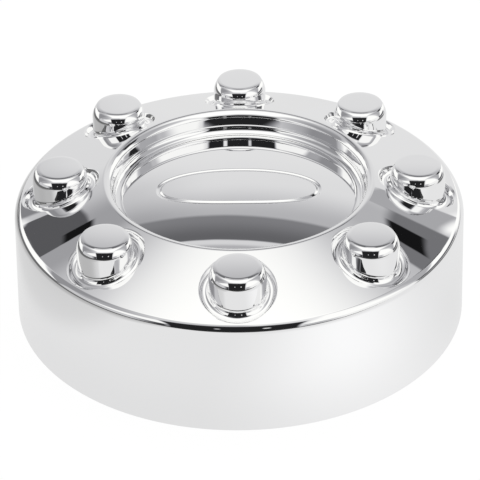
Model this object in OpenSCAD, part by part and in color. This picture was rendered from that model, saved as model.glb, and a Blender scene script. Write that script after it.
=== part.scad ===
// Centre cap for an eight-stud truck wheel: one moulded, chromed shell.
// The cap stands on the lower edge of its skirt (z = 0) and its axis is Z.
// All lengths are millimetres, all angles degrees.

/* [Skirt and face] */
// radius of the skirt's outside at its lower edge
skirt_r_low = 108.6; // [106:0.1:112]
// radius of the skirt's outside at its upper end
skirt_r_top = 107.1; // [106.6:0.1:108]
// height of the corner where skirt and sloping face would meet
corner_z = 54.4; // [50:0.1:58]
// radius that rounds the corner of skirt and face
corner_round = 4.5; // [2:0.1:5]
// slope of the face, from the rim of the dish down to the skirt
face_slope = 17.5; // [14:0.1:20]
// thickness of the moulded wall
wall = 2.6; // [2:0.1:3.2]

/* [Dish] */
// radius of the dish's wall just under its lip
dish_r = 60.7; // [58:0.1:62]
// how far the dish's wall leans in over its height
dish_draft = 0.8; // [0.4:0.1:1.2]
// radius of the rounded lip round the dish
lip_round = 3.5; // [2:0.1:4]
// radius of the hollow round at the foot of the dish's wall
foot_round = 3.2; // [2:0.1:4]
// height of the floor's crown at the axis
crown_z = 62.6; // [60:0.1:64]
// radius of the floor's shallow dome
crown_r = 300; // [260:5:360]

/* [Oval seat] */
// length of the blank oval on the crown, to the middle of its groove
oval_l = 76; // [60:1:84]
// width of the blank oval, to the middle of its groove
oval_w = 29.4; // [26:0.2:34]
// bluntness of the oval's ends; 2 is an ellipse
oval_blunt = 2.35; // [2:0.05:2.6]
// width of the groove round the oval
oval_groove = 3; // [2:0.1:3.4]
// depth of the groove
oval_depth = 0.5; // [0.3:0.05:0.8]

/* [Lug covers] */
// number of lug covers
lugs = 8; // [5:1:8]
// diameter of the circle that the wheel's studs stand on
stud_circle = 170; // [168:0.5:172]
// height of the crease round a cover's top disc
lug_z = 73.0; // [71:0.1:75]
// radius of the top disc inside its crease
lug_disc_r = 10.7; // [10:0.1:11.2]
// rise of the nearly flat disc
lug_disc_rise = 0.28; // [0.2:0.02:0.6]
// width of the disc's rounded margin
lug_margin = 1.4; // [0.8:0.1:2]
// depth of the shoulder below the crease
lug_shoulder = 5.5; // [4.5:0.1:7]
// how far the shoulder's arc turns, in degrees
lug_turn = 24; // [10:1:40]
// radius of the cover's body under the shoulder
lug_body_r = 13.1; // [12.6:0.1:13.4]

/* [Wells] */
// radius of the well round each cover, at its lip
well_r = 19; // [18.4:0.1:19.5]
// depth of the well below the face
well_depth = 2.8; // [2.2:0.1:3.2]
// radius of the well's rounded lip
well_lip = 2; // [1.2:0.1:2.4]
// radius of the hollow round at the foot of the well's outer side
well_cove = 2; // [1.2:0.1:2.4]
// radius of the hollow round between the well and the cover
well_flare = 2.4; // [1.2:0.1:3]

/* [Underside] */
// radius of the bore that takes a lug nut
socket_r = 12.5; // [12.2:0.05:12.8]
// wall of a socket tube
socket_wall = 2.2; // [1.8:0.1:2.6]
// height of the socket tubes' lower ends
socket_z = 14; // [10:1:22]
// number of springy fingers at each tube's end
fingers = 4; // [3:1:6]
// width of the slots between the fingers
finger_slot = 2.4; // [1.6:0.1:3.2]
// height of the slots
finger_h = 16; // [10:1:20]
// thickness of the stiffening ribs
rib_t = 2; // [1.6:0.1:2.4]
// how far the ribs between the covers hang below the face
rib_drop = 9; // [6:1:14]

/* [Hidden] */
$fn = 96;
eps = 0.01;
stud_r = stud_circle / 2;
lug_pitch = 360 / lugs;
tan_face = tan(face_slope);

// height of the face at a radius, and of the underside below it
function face_z(r) = corner_z + (skirt_r_top - r) * tan_face;
function under_z(r) = face_z(r) - wall / cos(face_slope);
// radius of the skirt's inside at a height
function skirt_in(z) = skirt_r_low - wall + (skirt_r_top - skirt_r_low) * z / corner_z;
// height of the floor's dome at a radius
function crown_at(r) = crown_z - crown_r + sqrt(crown_r * crown_r - r * r);

// unit vectors and corner rounding, in the (radius, height) plane
function unit(v) = v / norm(v);
function toward(a, b) = unit(b - a);
function bearing(v) = atan2(v[1], v[0]);
// centre of the circle of radius q that rounds corner b between a and c
function round_mid(a, b, c, q) =
    let (u = toward(b, a), v = toward(b, c), h = acos(u * v) / 2)
    b + unit(u + v) * (q / sin(h));
// distance from corner b to where that circle touches either side
function round_len(a, b, c, q) = q / tan(acos(toward(b, a) * toward(b, c)) / 2);
// n + 1 points along that rounding, from the side of a to the side of c
function round_pts(a, b, c, q, n) =
    let (m = round_mid(a, b, c, q), l = round_len(a, b, c, q),
        s = bearing(b + toward(b, a) * l - m), e = bearing(b + toward(b, c) * l - m),
        turn = (e - s + 540) % 360 - 180)
    [for (i = [0 : n]) m + q * [cos(s + turn * i / n), sin(s + turn * i / n)]];
// n + 1 points on an arc round m, from angle a to angle b
function arc_pts(m, q, a, b, n) = [for (i = [0 : n]) m + q * [cos(a + (b - a) * i / n), sin(a + (b - a) * i / n)]];
// points on the crown from radius r0 to r1
function crown_pts(r0, r1, n) = [for (i = [0 : n]) let (r = r0 + (r1 - r0) * i / n) [r, crown_at(r)]];

// main points of the outside: skirt foot, corner, lip, wall foot, a point on the floor
p_low = [skirt_r_low, 0];
p_corner = [skirt_r_top, corner_z];
p_lip = [dish_r, face_z(dish_r)];
foot_r = dish_r - dish_draft;
p_foot = [foot_r, crown_at(foot_r)];
floor_r = foot_r - foot_round - 2;
function foot_pts(n) = round_pts(p_lip, p_foot, [floor_r - 2, crown_at(floor_r - 2)], foot_round, n);

// well, across the slope of the face: its outer side turns this far between lip and cove
well_turn = 60;
// radius where that side's hollow round begins
well_floor_r = well_r - (well_lip + well_cove) * sin(well_turn)
    - (well_depth - (well_lip + well_cove) * (1 - cos(well_turn))) / tan(well_turn);
// radius of the island that each cover stands on
island_r = lug_body_r - 0.4;
// the lip's round stands this much over the face, so that it crosses the face cleanly
lip_up = 0.05;

// half section of the outside, solid down to z = 0
module outside_profile()
{
    polygon(concat(
        [[0, 0], p_low],
        round_pts(p_low, p_corner, p_lip, corner_round, 7),
        round_pts(p_corner, p_lip, p_foot, lip_round, 8),
        foot_pts(8),
        crown_pts(floor_r, 0, 14)
    ));
}

// half section of the hollow under the shell
module hollow_profile()
{
    in_low = skirt_r_low - wall;
    in_top = skirt_r_top - wall;
    wall_out = dish_r + wall;
    under = foot_r - 1;
    polygon(concat(
        [[0, -1], [in_low + 0.03, -1], [in_top, under_z(in_top) - 1.5], [in_top - 1.5, under_z(in_top - 1.5)],
            [wall_out + 2, under_z(wall_out + 2)], [wall_out + 0.4, under_z(wall_out + 2) - 1.6],
            [wall_out - 0.4, crown_at(under) - wall], [wall_out - 3, crown_at(under) - wall - 0.6]],
        [for (p = crown_pts(under - 3, 0, 12)) p - [0, wall]]
    ));
}

module shell()
{
    rotate_extrude($fn = 180) difference()
    {
        outside_profile();
        hollow_profile();
    }
}

// a copy of the children at every stud, the first on +X
module each_lug() for (i = [0 : lugs - 1]) rotate(i * lug_pitch) translate([stud_r, 0]) children();

// a frame whose XY plane lies on the face at a stud
module on_face() translate([0, 0, face_z(stud_r)]) rotate([0, face_slope, 0]) children();

// the same, drawn out along the slope, so that a circle there is round when seen along Z
module on_slope() on_face() scale([1 / cos(face_slope), 1, 1]) children();

// the pan that carries the well's floor below the face
module pans() each_lug() on_face() translate([0, 0, -well_depth - wall]) cylinder(h = wall + well_depth - 1, r = well_r + 1.4);

// what the wells take away from the face: a moat with rounds on both sides
module well_cut()
{
    flare = min(well_flare, well_floor_r - island_r);
    rotate_extrude($fn = 120) polygon(concat(
        [[island_r, 6]],
        arc_pts([island_r + flare, flare - well_depth], flare, 180, 270, 5),
        arc_pts([well_floor_r, well_cove - well_depth], well_cove, 270, 270 + well_turn, 4),
        arc_pts([well_r, lip_up - well_lip], well_lip, 90 + well_turn, 90, 4),
        [[well_r, 6]]
    ));
}

// a lug cover: nearly flat disc with a rounded margin, arched shoulder, and body
module lug_cover()
{
    base = face_z(stud_r + lug_body_r) - well_depth - 1.2;
    flat_r = lug_disc_r - lug_margin;
    // half of the disc's rise lies in its margin
    low = lug_z - lug_shoulder;
    crease = [lug_disc_r, lug_z];
    chord = [lug_body_r, low] - crease;
    q = norm(chord) / 2 / sin(lug_turn / 2);
    mid = crease + chord / 2 + unit([chord[1], -chord[0]]) * q * cos(lug_turn / 2);
    from = bearing(crease - mid);
    rotate_extrude($fn = 120) polygon(concat(
        [[0, base], [lug_body_r, base]],
        arc_pts(mid, q, from - lug_turn, from, 6),
        [for (k = [3, 2, 1, 0]) [flat_r + lug_margin * k / 4, lug_z + lug_disc_rise * (1 - k * k / 16) / 2]],
        [for (k = [2, 1, 0]) [flat_r * k / 3, lug_z + lug_disc_rise * (1 - k * k / 18)]]
    ));
}

// socket tube that grips a lug nut, with its fingers
module socket_tube()
{
    top = face_z(stud_r + socket_r + socket_wall) - well_depth - 1;
    difference()
    {
        translate([0, 0, socket_z]) cylinder(h = top - socket_z, r = socket_r + socket_wall);
        for (i = [0 : fingers - 1]) rotate((i + 0.5) * 360 / fingers)
            translate([0, -finger_slot / 2, socket_z - 1]) cube([socket_r + socket_wall + 2, finger_slot, finger_h + 1]);
    }
}

// what is hollow inside tube and cover
module socket_bore()
{
    top = face_z(stud_r + socket_r) - well_depth - wall - 0.8;
    translate([0, 0, socket_z - 1]) cylinder(h = top - socket_z + 1, r = socket_r);
    translate([0, 0, top - eps]) cylinder(h = lug_z - lug_shoulder - top + eps, r = lug_body_r - 2.2);
    translate([0, 0, lug_z - lug_shoulder - eps]) cylinder(h = lug_shoulder - 2, r1 = lug_body_r - 2.2, r2 = lug_disc_r - 1.6);
}

// radial ribs: beside each tube, and one between neighbouring covers
module ribs()
{
    tube = socket_r + socket_wall;
    in = dish_r + wall - 0.8;
    out = skirt_r_top - wall + 0.6;
    low = face_z(out) - rib_drop - 12;
    for (i = [0 : lugs - 1])
    {
        rotate([90, 0, i * lug_pitch]) translate([0, 0, -rib_t / 2]) linear_extrude(rib_t)
        {
            polygon([
                [in, 46], [stud_r - tube + 1, 40], [stud_r - tube + 1, face_z(stud_r - tube) - well_depth - 2],
                [in, face_z(in) - well_depth - 4]
            ]);
            polygon([
                [stud_r + tube - 1, 30], [skirt_in(22) + 0.9, 22], [skirt_in(50) + 0.9, face_z(out) - well_depth - 1.5],
                [stud_r + tube - 1, face_z(stud_r + tube) - well_depth - 2]
            ]);
        }
        rotate([90, 0, (i + 0.5) * lug_pitch]) translate([0, 0, -rib_t / 2]) linear_extrude(rib_t)
            polygon([
                [in, face_z(in) - rib_drop - 2], [skirt_in(low) + 0.9, low],
                [out, face_z(out) - 1.6], [in, face_z(in) - 1.6]
            ]);
    }
}

// point i of n on the middle of the oval's groove, and the way outward there
function power(v, p) = sign(v) * pow(abs(v), p);
function oval_at(t) = [oval_l / 2 * power(cos(t), 2 / oval_blunt), oval_w / 2 * power(sin(t), 2 / oval_blunt)];
function oval_out(p) = unit([
    power(p[0] / oval_l, oval_blunt - 1) / oval_l, power(p[1] / oval_w, oval_blunt - 1) / oval_w
]);

// groove that draws the blank oval on the crown: one section, carried round on the dome
module oval_groove_cut()
{
    n = 72;
    // the section, by its share of the half width and its height over the dome
    side = [[-1.3, 0.3], [-0.62, -0.6], [-0.22, -1], [0.22, -1], [0.62, -0.6], [1.3, 0.3]];
    m = len(side);
    points = [
        for (i = [0 : n - 1], k = side)
            let (p = oval_at(360 * (i + 0.5) / n), w = p + oval_out(p) * k[0] * oval_groove / 2)
            [w[0], w[1], crown_at(norm(w)) + k[1] * oval_depth]
    ];
    polyhedron(points, [
        for (i = [0 : n - 1], j = [0 : m - 1])
            let (a = i * m + j, b = i * m + (j + 1) % m, c = (i + 1) % n * m + (j + 1) % m, d = (i + 1) % n * m + j)
            each [[a, b, c], [a, c, d]]
    ]);
}

module center_cap()
{
    color("silver") difference()
    {
        union()
        {
            difference()
            {
                union()
                {
                    shell();
                    intersection()
                    {
                        pans();
                        cylinder(h = 80, r = skirt_r_top - 0.6);
                    }
                }
                each_lug() on_slope() well_cut();
                oval_groove_cut();
            }
            each_lug() lug_cover();
            each_lug() socket_tube();
            ribs();
        }
        each_lug() socket_bore();
    }
}

center_cap();
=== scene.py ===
import math

import bmesh
import bpy
from mathutils import Matrix, Vector


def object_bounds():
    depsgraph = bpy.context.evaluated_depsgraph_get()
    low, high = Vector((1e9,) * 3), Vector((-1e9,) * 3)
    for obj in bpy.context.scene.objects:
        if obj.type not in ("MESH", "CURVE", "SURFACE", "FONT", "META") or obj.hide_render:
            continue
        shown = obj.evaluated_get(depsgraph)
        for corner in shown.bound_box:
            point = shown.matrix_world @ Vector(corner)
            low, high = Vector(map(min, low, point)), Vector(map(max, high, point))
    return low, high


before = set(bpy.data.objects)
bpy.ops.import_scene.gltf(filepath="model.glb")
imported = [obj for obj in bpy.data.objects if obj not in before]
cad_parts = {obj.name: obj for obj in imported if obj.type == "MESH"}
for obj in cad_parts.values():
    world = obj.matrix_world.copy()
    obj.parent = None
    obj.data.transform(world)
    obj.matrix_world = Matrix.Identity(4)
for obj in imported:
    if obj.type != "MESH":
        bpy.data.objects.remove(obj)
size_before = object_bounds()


# Centre cap, the CAD node: one shell moulded in plastic and pushed onto the lug nuts, with bright
# chrome outside and thinner, satin plating inside. The CAD's rounds are narrow rings, so the plating
# works the true normal out from the form's own lines and arcs and mirrors without steps.
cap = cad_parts["center_cap"]


def put(tree, kind, *values, **settings):
    """Adds a node, sets or links its inputs in order, and gives back its first output."""
    node = tree.nodes.new(kind)
    for key, value in settings.items():
        setattr(node, key, value)
    for socket, value in zip(node.inputs, values):
        if isinstance(value, bpy.types.NodeSocket):
            tree.links.new(value, socket)
        elif value is not None:
            socket.default_value = value
    return node.outputs[0] if node.outputs else None


def calc(op, *values):
    """One step of arithmetic, in the node tree of its first linked value."""
    tree = next(value.id_data for value in values if isinstance(value, bpy.types.NodeSocket))
    return put(tree, "ShaderNodeMath", *values, operation=op)


def plus(a, b):
    return calc("ADD", a, b)


def minus(a, b):
    return calc("SUBTRACT", a, b)


def divided(a, b):
    return calc("DIVIDE", a, b)


def times(*values):
    made = values[0]
    for value in values[1:]:
        made = calc("MULTIPLY", made, value)
    return made


def below(value, limit):
    return calc("LESS_THAN", value, limit)


def above(value, limit):
    return calc("GREATER_THAN", value, limit)


form = bpy.data.node_groups.new("cap_form", "ShaderNodeTree")
form.interface.new_socket("Normal", in_out="OUTPUT", socket_type="NodeSocketVector")
form.interface.new_socket("Inside", in_out="OUTPUT", socket_type="NodeSocketFloat")


def v(op, *values):
    """One step of vector arithmetic in the form's group."""
    node = put(form, "ShaderNodeVectorMath", *values, operation=op).node
    return node.outputs["Value"] if op in ("LENGTH", "DOT_PRODUCT") else node.outputs[0]


def xyz(a, b, c=0.0):
    return put(form, "ShaderNodeCombineXYZ", a, b, c)


def parts_of(vector):
    return put(form, "ShaderNodeSeparateXYZ", vector).node.outputs[:3]


def turned(vector, angle, axis="Z_AXIS"):
    return put(form, "ShaderNodeVectorRotate", vector, None, None, angle, rotation_type=axis)


def aimed(vector, source, target):
    kinds = {"vector_type": "NORMAL", "convert_from": source, "convert_to": target}
    return put(form, "ShaderNodeVectorTransform", vector, **kinds)


# the place on the cap in millimetres, its radius and the way outward, and the mesh's own normal
millimetres = 1000.0
place = v("SCALE", put(form, "ShaderNodeTexCoord").node.outputs["Object"], None, None, millimetres)
x, y, z = parts_of(place)
r = v("LENGTH", xyz(x, y))
outward = v("NORMALIZE", xyz(x, y))
flat = aimed(put(form, "ShaderNodeNewGeometry").node.outputs["True Normal"], "WORLD", "OBJECT")
flat_z = parts_of(flat)[2]

# each side below is a function of the radius and height in a section, and gives the two parts of
# its normal and the distance from it


def line(start, end):
    """A straight side between two points, walked with the material on the left."""
    along = (end - start).normalized()
    nr, nz = along.y, -along.x
    return lambda a, b: (nr, nz, plus(times(minus(a, start.x), nr), times(minus(b, start.y), nz)))


def arc(middle, radius, swell=1):
    """A round; swell is -1 where it is hollow."""

    def side(a, b):
        da, db = minus(a, middle.x), minus(b, middle.y)
        far = calc("SQRT", plus(times(da, da), times(db, db)))
        return times(divided(da, far), swell), times(divided(db, far), swell), minus(far, radius)

    return side


def bent(plain, way, *steps):
    """A side whose moulded edge turns unevenly: steps pair a place along it with a lean in degrees."""

    def side(a, b):
        nr, nz, far = plain(a, b)
        spot, lean = way(nr, nz), math.radians(steps[0][1])
        for (start, low), (end, high) in zip(steps, steps[1:]):
            more = math.radians(high - low)
            lean = plus(lean, put(form, "ShaderNodeMapRange", spot, float(start), float(end), 0.0, more))
        return calc("SINE", lean), calc("COSINE", lean), far

    return side


def by_lean(nr, nz):
    """Places along a side by its own lean: 0 faces up, 90 faces outward."""
    return calc("DEGREES", calc("ARCTAN2", nr, nz))


def swapped(first, second, share):
    """second where share is 1, else first."""
    node = put(form, "ShaderNodeMix", share, None, None, None, first, second, data_type="VECTOR").node
    return node.outputs[1]


def seen_on(side, section):
    """The normal of a side in the cap's frame, and how far off the side the place is."""
    a, b, radial, back = section
    nr, nz, far = side(a, b)
    normal = v("ADD", v("MULTIPLY", radial, xyz(nr, nr, nr)), xyz(0.0, 0.0, nz))
    return back(normal), calc("ABSOLUTE", far)


# the mesh lies this near to the side that it follows
touch = 0.12


def settle(best, side, section, near=touch, like=0.965):
    """Takes a side's normal where the mesh is near to it and its own normal is nearly like it."""
    normal, off = seen_on(side, section)
    same_way = above(v("DOT_PRODUCT", normal, flat), like)
    return swapped(best, normal, times(below(off, near), same_way))


def round_mid(before, point, after, radius):
    """Middle of the circle that rounds off a point between its two neighbours."""
    one, other = (before - point).normalized(), (after - point).normalized()
    return point + (one + other).normalized() * (radius / math.sin(one.angle(other) / 2))


# the big turned surfaces: skirt, sloping face, the dish's wall, its domed floor, and the hollow
# round between those two
skirt_low_r = size_before[1][0] * millimetres
skirt_top_r, corner_z = 107.1, 54.4
slope = math.radians(17.5)
dish_r, dish_foot_r = 60.7, 59.9
crown_z, crown_r = 62.6, 300.0
corner_round, lip_round, foot_round = 4.5, 3.5, 3.2


def face_z(radius):
    return corner_z + (skirt_top_r - radius) * math.tan(slope)


def crown_at(radius):
    return crown_z - crown_r + math.sqrt(crown_r * crown_r - radius * radius)


skirt_foot, corner = Vector((skirt_low_r, 0.0)), Vector((skirt_top_r, corner_z))
lip, dish_foot = Vector((dish_r, face_z(dish_r))), Vector((dish_foot_r, crown_at(dish_foot_r)))
floor_r = dish_foot_r - foot_round - 4.0
foot_mid = round_mid(lip, dish_foot, Vector((floor_r, crown_at(floor_r))), foot_round)
# a section: the radius and height in it, the way outward, and the turn back to the cap's frame
cap_section = (r, z, outward, lambda normal: normal)
best = flat
for side in (
    line(skirt_foot, corner),
    line(corner, lip),
    line(lip, dish_foot),
    arc(Vector((0.0, crown_z - crown_r)), crown_r),
    arc(foot_mid, foot_round, -1),
):
    best = settle(best, side, cap_section)
# the corner turns fast next to the face, and the dish's lip where it meets the wall; each pair is
# the even round's lean and the one that shows
corner_arc = arc(round_mid(skirt_foot, corner, lip, corner_round), corner_round)
corner_lean = (17.5, 17.5), (25, 42), (36, 47), (68, 78), (88.4, 88.4)
lip_arc = arc(round_mid(corner, lip, dish_foot, lip_round), lip_round)
lip_lean = (17.5, 17.5), (-30, -28), (-60, -50), (-86.3, -86.3)
for side in (bent(corner_arc, by_lean, *corner_lean), bent(lip_arc, by_lean, *lip_lean)):
    best = settle(best, side, cap_section, like=0.7)

# a lug cover's shoulder, disc and body, in the frame of the nearest of the eight covers
stud_r, lug_pitch = 85.0, math.tau / 8
crease = Vector((10.7, 73.0))
body_r, shoulder_z, shoulder_turn = 13.1, 67.5, math.radians(24)
turn = times(calc("ROUND", divided(calc("ARCTAN2", y, x), lug_pitch)), lug_pitch)
near_x, near_y, _ = parts_of(turned(place, times(turn, -1.0)))
lug_x = minus(near_x, stud_r)
lug_r = v("LENGTH", xyz(lug_x, near_y))
cover_section = (lug_r, z, v("NORMALIZE", xyz(lug_x, near_y)), lambda normal: turned(normal, turn))

# the shoulder's upper edge is softly rounded; each pair is a height and the lean there
chord = Vector((body_r, shoulder_z)) - crease
shoulder_r = chord.length / 2 / math.sin(shoulder_turn / 2)
inward = Vector((chord.y, -chord.x)).normalized()
shoulder_mid = crease + chord / 2 + inward * shoulder_r * math.cos(shoulder_turn / 2)
shoulder_lean = (73, 13), (71.6, 48), (68.4, 79), (67.5, 84)
shoulder = bent(arc(shoulder_mid, shoulder_r), lambda nr, nz: z, *shoulder_lean)
best = settle(best, shoulder, cover_section, like=0.6)

disc_rise, disc_curve = 0.28, 0.0032
margin_r, margin_curve, crease_lean = 9.0, 0.09, 0.14


def disc(a, b):
    """Nearly flat up to its margin, which rolls off to the crease."""
    in_margin = calc("MAXIMUM", minus(a, margin_r), 0.0)
    lean = plus(times(calc("MINIMUM", a, margin_r), disc_curve), times(in_margin, margin_curve))
    return calc("MINIMUM", lean, crease_lean), 1.0, minus(b, crease.y + disc_rise / 2)


best = settle(best, disc, cover_section, near=0.17)

# the well lies across the slope of the face and is drawn out along it, so that it is round from above
on_face = turned(xyz(lug_x, near_y, minus(z, face_z(stud_r))), -slope, "Y_AXIS")
slant_x, well_y, well_z = parts_of(on_face)
well_x = times(slant_x, math.cos(slope))


def upright(normal):
    """From the well's drawn-out frame back to the cap's."""
    drawn = v("NORMALIZE", v("MULTIPLY", normal, xyz(math.cos(slope), 1.0, 1.0)))
    return turned(turned(drawn, slope, "Y_AXIS"), turn)


well_out = xyz(well_x, well_y)
well_section = (v("LENGTH", well_out), well_z, v("NORMALIZE", well_out), upright)

# the cover's body runs straight down to a thin line, then flares to its foot along the slope; each
# pair is a height over the slope and the lean there
body_line = line(Vector((body_r, 0.0)), Vector((body_r, shoulder_z)))
body_lean = (
    (10, 84), (2.5, 82), (1.4, 81), (0.95, 73), (0.55, 82), (0.0, 81), (-0.3, 69), (-2.1, 52), (-2.5, 38)
)
body = bent(body_line, lambda nr, nz: well_z, *body_lean)
body_normal, off_body = seen_on(body, cover_section)
steep = below(calc("ABSOLUTE", flat_z), 0.3)
on_body = times(below(off_body, touch), steep, below(z, shoulder_z + 0.1))
best = swapped(best, body_normal, on_body)

# hollow rounds at both sides of the well's floor, then its outer side, which rises at 60 degrees
well_r, well_depth, well_round, lip_up, island_in = 19.0, 2.8, 2.0, 0.05, 0.4
side_turn = math.radians(60)
side_way = Vector((math.sin(side_turn), -math.cos(side_turn))) * well_round
side_drop = well_depth - 2 * well_round * (1 - math.cos(side_turn))
floor_end = well_r - 2 * side_way.x - side_drop / math.tan(side_turn)
flare = floor_end - (body_r - island_in)
flare_arc = arc(Vector((floor_end, flare - well_depth)), flare, -1)
best = settle(best, bent(flare_arc, by_lean, (90, 64), (32, 40), (0, 0)), well_section, like=0.6)
cove_mid, edge_mid = Vector((floor_end, well_round - well_depth)), Vector((well_r, lip_up - well_round))
for side in (arc(cove_mid, well_round, -1), line(edge_mid - side_way, cove_mid + side_way)):
    best = settle(best, side, well_section)
# its lip has a clear edge just below the face, and ends where the flat face begins
edge_lean = (0, 0), (-10, -9), (-13, -27), (-25, -42), (-61, -61)
edge = bent(arc(edge_mid, well_round), by_lean, *edge_lean)


def edge_only(a, b):
    nr, nz, far = edge(a, b)
    return nr, nz, plus(far, above(a, well_r - 0.05))


best = settle(best, edge_only, well_section, like=0.85)

# the groove of the blank oval: how far a place lies outside the groove's middle line
half_l, half_w, blunt = 38.0, 14.7, 2.35
groove_w, groove_depth, groove_lean = 3.2, 0.5, 0.6
part_x, part_y = divided(calc("ABSOLUTE", x), half_l), divided(calc("ABSOLUTE", y), half_w)
size = calc("POWER", plus(calc("POWER", part_x, blunt), calc("POWER", part_y, blunt)), 1 / blunt)
lead = calc("POWER", calc("MAXIMUM", size, 0.01), 1 - blunt)
grow_x = times(calc("POWER", part_x, blunt - 1), lead, 1 / half_l, calc("SIGN", x))
grow_y = times(calc("POWER", part_y, blunt - 1), lead, 1 / half_w, calc("SIGN", y))
grow = xyz(grow_x, grow_y)
off_oval = divided(minus(size, 1.0), v("LENGTH", grow))
# it is round at the bottom and leans most at a quarter of its width
dip = times(calc("SINE", times(off_oval, math.tau / groove_w)), groove_lean)
on_dome = xyz(divided(x, crown_r), divided(y, crown_r), 1.0)
tipped = v("SUBTRACT", on_dome, v("MULTIPLY", v("NORMALIZE", grow), xyz(dip, dip, 0.0)))
sag = times(r, r, 1 / (2 * crown_r))
near_dome = below(calc("ABSOLUTE", minus(z, minus(crown_z, sag))), 1.5 * groove_depth)
in_groove = times(near_dome, below(calc("ABSOLUTE", off_oval), groove_w / 2), above(flat_z, 0.3))
best = swapped(best, v("NORMALIZE", tipped), in_groove)

# inside of the shell: past the middle of the skirt's wall, and deeper than the wells under the face
# or deeper than the groove under the dish's floor; or facing down
wall, under_wells, under_groove = 2.6, 4.4, 1.6
wall_middle = minus(skirt_low_r - wall / 2, times(z, (skirt_low_r - skirt_top_r) / corner_z))
under_face = plus(times(minus(skirt_top_r, r), math.tan(slope)), corner_z - under_wells)
under_floor = minus(crown_z - under_groove, sag)
outside_dish = above(r, dish_r + 1.1)
limit = plus(times(under_face, outside_dish), times(under_floor, minus(1.0, outside_dish)))
inside = calc("MAXIMUM", times(below(z, limit), below(r, wall_middle)), below(flat_z, -0.5))

ends = form.nodes.new("NodeGroupOutput")
form.links.new(aimed(best, "OBJECT", "WORLD"), ends.inputs["Normal"])
form.links.new(inside, ends.inputs["Inside"])

chrome = bpy.data.materials.new("chrome_plate")
chrome.use_nodes = True
tree = chrome.node_tree
tree.nodes.clear()
group = tree.nodes.new("ShaderNodeGroup")
group.node_tree = form
true_normal, satin = group.outputs["Normal"], group.outputs["Inside"]
spot = put(tree, "ShaderNodeTexCoord").node.outputs["Object"]


def cloud(scale, detail, low, high):
    """Noise on the object's own coordinates, mapped from low to high."""
    node = put(tree, "ShaderNodeTexNoise", spot).node
    node.inputs["Scale"].default_value, node.inputs["Detail"].default_value = scale, detail
    return put(tree, "ShaderNodeMapRange", node.outputs["Fac"], 0.3, 0.7, low, high)


# plating that is hardly wavy, with fine moulding grain showing inside
height = plus(cloud(90, 1, 0, 1), times(cloud(2500, 3, 0, 6), satin))
bump = put(tree, "ShaderNodeBump").node
bump.inputs["Strength"].default_value = 1.0
bump.inputs["Distance"].default_value = 0.0000022
tree.links.new(height, bump.inputs["Height"])
tree.links.new(true_normal, bump.inputs["Normal"])

bright, dull = (0.92, 0.92, 0.925, 1), (0.60, 0.60, 0.61, 1)
tone = put(tree, "ShaderNodeMix", satin, data_type="RGBA").node
tone.inputs[6].default_value, tone.inputs[7].default_value = bright, dull
gloss = put(tree, "ShaderNodeMapRange", satin, 0.0, 1.0, cloud(400, 4, 0.0, 0.02), cloud(700, 4, 0.24, 0.34))
plate = put(tree, "ShaderNodeBsdfPrincipled").node
plate.inputs["Metallic"].default_value = 1.0
tree.links.new(tone.outputs[2], plate.inputs["Base Color"])
tree.links.new(gloss, plate.inputs["Roughness"])
tree.links.new(bump.outputs[0], plate.inputs["Normal"])
put(tree, "ShaderNodeOutputMaterial", plate.outputs[0])
cap.data.materials.clear()
cap.data.materials.append(chrome)


# Table: a plain white paper sheet that the cap stands on, a hair under its foot. It takes the cap's
# soft shadow, and the glow that the chrome sees in it is painted light and shade: brighter at the front
# right, dark at its far sides.
half, low = 4.0, size_before[0][2] - 0.0002
table = bpy.data.objects.new("table", bpy.data.meshes.new("table"))
corners = [(-half, -half, low), (half, -half, low), (half, half, low), (-half, half, low)]
table.data.from_pydata(corners, [], [(0, 1, 2, 3)])
bpy.context.scene.collection.objects.link(table)
paper = bpy.data.materials.new("white_paper")
paper.use_nodes = True
tree = paper.node_tree
tree.nodes.clear()
spot = put(tree, "ShaderNodeTexCoord").node.outputs["Object"]
fibre = put(tree, "ShaderNodeTexNoise", spot).node
fibre.inputs["Scale"].default_value = 300
shade = put(tree, "ShaderNodeMapRange", fibre.outputs["Fac"], 0.3, 0.7, 0.88, 0.9)
matt = put(tree, "ShaderNodeBsdfDiffuse", put(tree, "ShaderNodeCombineColor", shade, shade, shade))


def fade(value, start, end, low, high):
    """Goes softly from low at start to high at end."""
    limits = (float(start), float(end), low, high)
    return put(value.id_data, "ShaderNodeMapRange", value, *limits, interpolation_type="SMOOTHSTEP")


def rise(value, start, end):
    """0 before start and 1 past end, softly; with start over end it is 1 below end."""
    return fade(value, start, end, 0.0, 1.0)


def patch(level, *masks):
    """1, but level where all the masks are 1."""
    return fade(times(*masks), 0.0, 1.0, 1.0, level)


px, py, _ = put(tree, "ShaderNodeSeparateXYZ", spot).node.outputs[:3]
# middle of the painted pool of light on the sheet's glow
painted_light_spot = (0.1, -0.135, 0.0)
away = put(tree, "ShaderNodeVectorMath", spot, painted_light_spot, operation="DISTANCE").node.outputs["Value"]
reach = put(tree, "ShaderNodeVectorMath", spot, operation="LENGTH").node.outputs["Value"]
painted_light_and_shade = times(
    # a painted pool of light, brightest in front of the cap's right, and painted shade a little darker right
    # beside the skirt
    fade(away, 0.0, 0.13, 1.07, 0.855),
    fade(reach, 0.115, 0.155, 0.97, 1.0),
    # painted shade, darker in steps to the left
    patch(0.85, rise(px, -0.112, -0.15), rise(reach, 0.4, 0.25)),
    patch(0.68, rise(px, -0.12, -0.23), rise(py, 0.5, 0.3)),
    patch(0.2, rise(px, -0.22, -0.36), rise(py, 0.9, 0.7)),
    # painted shade, dark far to the right, beside and behind the cap
    patch(0.15, rise(px, 0.28, 0.42), rise(py, -0.1, 0.0), rise(py, 0.45, 0.25)),
    # painted shade, hardly darker far behind, and nearly black towards the dark room in front
    fade(py, 0.4, 0.9, 1.0, 0.95),
    fade(py, -0.45, -0.36, 0.03, 1.0),
)
path = tree.nodes.new("ShaderNodeLightPath").outputs
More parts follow.
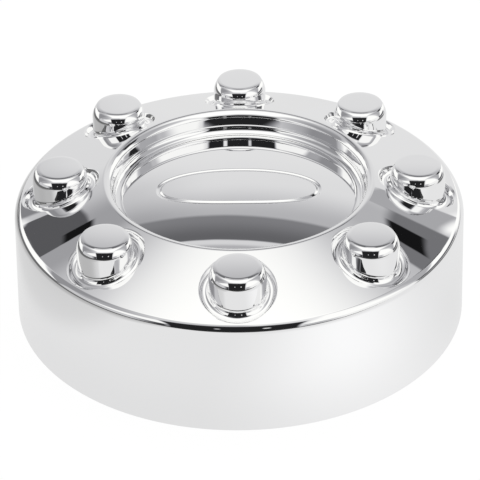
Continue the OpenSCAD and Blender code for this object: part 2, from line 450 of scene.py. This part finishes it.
# glossy rays see the painted light and shade, the camera an even level
level = put(tree, "ShaderNodeMapRange", path["Is Glossy Ray"], 0.0, 1.0, 1.04, painted_light_and_shade)
glow = put(tree, "ShaderNodeEmission", (1, 1, 1, 1), level)
# the camera, and what looks through or off something shiny, sees mostly the glow
seen = calc("MAXIMUM", path["Is Camera Ray"], path["Is Glossy Ray"])
seen = calc("MAXIMUM", seen, path["Is Transmission Ray"])
top_side = put(tree, "ShaderNodeMixShader", times(seen, 0.93), matt, glow)
# from below, the sheet is clear
back = tree.nodes.new("ShaderNodeNewGeometry").outputs["Backfacing"]
clear = put(tree, "ShaderNodeBsdfTransparent")
put(tree, "ShaderNodeOutputMaterial", put(tree, "ShaderNodeMixShader", back, top_side, clear))
table.data.materials.append(paper)


# Studio: what the chrome mirrors, painted on the inside of a dome: a soft light behind the cap, a
# dark gap over it, a soft box overhead, white boxes at both sides, and the dark room behind the
# camera. The camera looks through the dome and sees plain white.
dome_r, dome_z = 1.45, 0.06
dome = bpy.data.objects.new("studio_dome", bpy.data.meshes.new("studio_dome"))
ball = bmesh.new()
bmesh.ops.create_uvsphere(ball, u_segments=64, v_segments=32, radius=dome_r)
ball.to_mesh(dome.data)
ball.free()
dome.location = (0, 0, dome_z)
bpy.context.scene.collection.objects.link(dome)
glowing = bpy.data.materials.new("studio_light")
glowing.use_nodes = True
glowing.cycles.emission_sampling = "NONE"
tree = glowing.node_tree
tree.nodes.clear()

# the way from the dome's middle, as two angles in degrees: side is 0 ahead and overhead and grows
# to the right, and up is 0 at the horizon behind the cap, 90 overhead and 180 behind the camera
spot = put(tree, "ShaderNodeTexCoord").node.outputs["Object"]
way = put(tree, "ShaderNodeVectorMath", spot, operation="NORMALIZE")
dx, dy, dz = put(tree, "ShaderNodeSeparateXYZ", way).node.outputs[:3]
side = calc("DEGREES", calc("ARCSINE", dx))
wide = calc("ABSOLUTE", side)
up = calc("DEGREES", calc("ARCTAN2", dz, dy))
up = plus(up, times(below(up, -90.0), 360.0))


def card(left, right, low, high, soft=0.6):
    """A rectangle in the two angles, with soft edges."""
    across = times(rise(side, left - soft, left + soft), rise(side, right + soft, right - soft))
    return times(across, rise(up, low - soft, low + soft), rise(up, high + soft, high - soft))


def laid(under, level, *masks):
    """What is painted so far, with a level laid over it where all the masks are 1."""
    return plus(under, times(minus(level, under), *masks))


# light behind the cap, weaker upward and to the left
light = plus(0.475, plus(times(rise(up, 43, 30), 0.295), times(rise(up, 30, 18), 0.035)))
light = times(light, minus(1.0, times(rise(side, -3, -17), rise(up, 18, 32), 0.18)))
light = times(light, minus(1.0, times(rise(side, -6, -18), 0.07)))
light = laid(light, 0.56, rise(up, 49, 56))
# dark gap that deepens upward, with a paler strip over it; both climb a little to the right
climbed = minus(up, times(side, 0.09))
gap = times(rise(wide, 21, 18), rise(climbed, 54, 52))
light = laid(light, 0.22, rise(climbed, 42.3, 43.5), gap)
light = laid(light, 0.13, rise(climbed, 43.5, 50), gap)
light = laid(light, 0.70, rise(climbed, 50.7, 51.3), gap)
# soft box overhead, weaker towards the camera and most of all at the left there
light = laid(light, 1.12, rise(up, 57, 75), rise(side, -29, -19), rise(side, 30, 20))
light = laid(light, 0.64, rise(up, 113, 120), rise(side, 12, 0))
light = laid(light, 0.82, rise(up, 113, 120), rise(side, 0, 12), rise(side, 30, 24))
# greys at both sides of it
light = laid(light, 0.44, rise(side, 28, 33), rise(up, 58, 62), rise(up, 94, 86))
grey = plus(0.30, plus(times(rise(side, -50, -26), 0.2), times(rise(up, 100, 116), 0.12)))
light = laid(light, grey, rise(side, -28, -34), rise(up, 58, 64))
# white boxes: behind and beside the cap, at the right and at the left, and one at each side of the
# camera
white = 1.08
light = laid(light, white, rise(side, 27.2, 28), rise(up, 40, 36))
light = laid(light, white, rise(side, 38, 42), rise(up, 58, 52))
light = laid(light, white, rise(side, 24, 32), rise(up, 98, 118))
light = laid(light, white, rise(side, -28.4, -29.2), rise(up, 17, 21), rise(up, 38, 36))
light = laid(light, white, rise(side, -31, -35), rise(up, 12, 18), rise(up, 42, 38))
light = laid(light, white, rise(side, -38, -42), rise(up, 4, 9), rise(up, 58, 50))
light = laid(light, 1.04, rise(side, -26, -32), rise(up, 129, 137))
# dark panels behind the cap's left, the tall one with a slanting lower edge, and its right
black = 0.008
slant = rise(plus(up, times(side, 2.8)), -49, -47.6)
light = laid(light, 0.24, card(-29, -26, 24.5, 30.5))
light = laid(light, 0.10, card(-29.6, -26.75, 32.6, 45.5, 0.15), slant)
light = laid(light, black, card(-28.0, -26.5, 42.8, 45.5, 0.2))
light = laid(light, 0.41, card(24, 28, 31.5, 39.5, 0.3))
light = laid(light, 0.18, card(25.6, 30, 39.2, 52.4, 0.4))
light = laid(light, black, card(25.6, 27.5, 43.3, 48.4, 0.25))
light = laid(light, 0.02, card(31, 46, 45, 61, 1.5))
# low at both sides: dark beside and behind the cap, and lighter outward in front of it
behind = times(rise(up, -60, -55), rise(up, 120, 110))
ahead_low = rise(up, 92, 112)
left_low = plus(0.05, times(rise(side, -35, -52), 0.57))
right_low = plus(0.5, times(rise(side, 36, 50), 0.45))
light = laid(light, 0.15, rise(side, -32, -38), rise(dz, 0.05, 0.02), behind)
light = laid(light, 0.12, rise(side, 50, 58), rise(dz, 0.18, 0.12), behind)
light = laid(light, left_low, rise(side, -28, -34), rise(dz, 0.3, 0.24), ahead_low)
light = laid(light, right_low, rise(side, 25, 30), rise(dz, 0.26, 0.2), ahead_low)
light = laid(light, 0.5, rise(side, 38, 44), rise(up, 1, -3), rise(up, -60, -55))
# dark of the room behind the camera, with two small lamps in it
light = laid(light, 0.018, rise(up, 127, 134), rise(side, -33, -30), rise(side, 28, 25))
light = laid(light, 0.9, card(10.2, 13.2, 153, 160, 0.8))
light = laid(light, 0.7, card(-10.5, -8.3, 154, 160, 0.8))
# an even light below the table, for the underside
light = laid(light, 0.8, rise(dz, -0.08, -0.14))

# dim light is a little bluer than bright light
blue = times(light, minus(1.07, times(light, 0.085)))
shine = put(tree, "ShaderNodeEmission", put(tree, "ShaderNodeCombineColor", light, light, blue), 1.0)
seen = tree.nodes.new("ShaderNodeLightPath").outputs["Is Camera Ray"]
clear = put(tree, "ShaderNodeBsdfTransparent")
put(tree, "ShaderNodeOutputMaterial", put(tree, "ShaderNodeMixShader", seen, shine, clear))
dome.data.materials.append(glowing)

world = bpy.data.worlds.new("plain_white")
bpy.context.scene.world = world
world.use_nodes = True
world.node_tree.nodes.clear()
sky = put(world.node_tree, "ShaderNodeBackground", (1, 1, 1, 1), 1.0)
put(world.node_tree, "ShaderNodeOutputWorld", sky)


# Camera: a long lens from the front, looking down at the face. It is turned a little around the
# cap's axis and hardly tilted.
data = bpy.data.cameras.new("camera")
camera = bpy.data.objects.new("camera", data)
bpy.context.scene.collection.objects.link(camera)
bpy.context.scene.camera = camera
data.sensor_width, data.lens = 36.0, 163.86
data.clip_start, data.clip_end = 0.05, 20
down, tilt, around = math.radians(33.183), math.radians(0.747), math.radians(0.673)
aim, distance = Vector((0.000218, 0, 0.031385)), 1.057574
ahead = Vector((0, math.cos(down), -math.sin(down)))
level_x, level_y = Vector((1, 0, 0)), Vector((0, math.sin(down), math.cos(down)))
axis_x = level_x * math.cos(tilt) - level_y * math.sin(tilt)
axis_y = level_x * math.sin(tilt) + level_y * math.cos(tilt)
spun = Matrix.Rotation(around, 3, "Z")
columns = Matrix((spun @ axis_x, spun @ axis_y, spun @ -ahead)).transposed().to_4x4()
columns.translation = spun @ (aim - distance * ahead)
camera.matrix_world = columns

bpy.context.scene.view_settings.view_transform = "Standard"
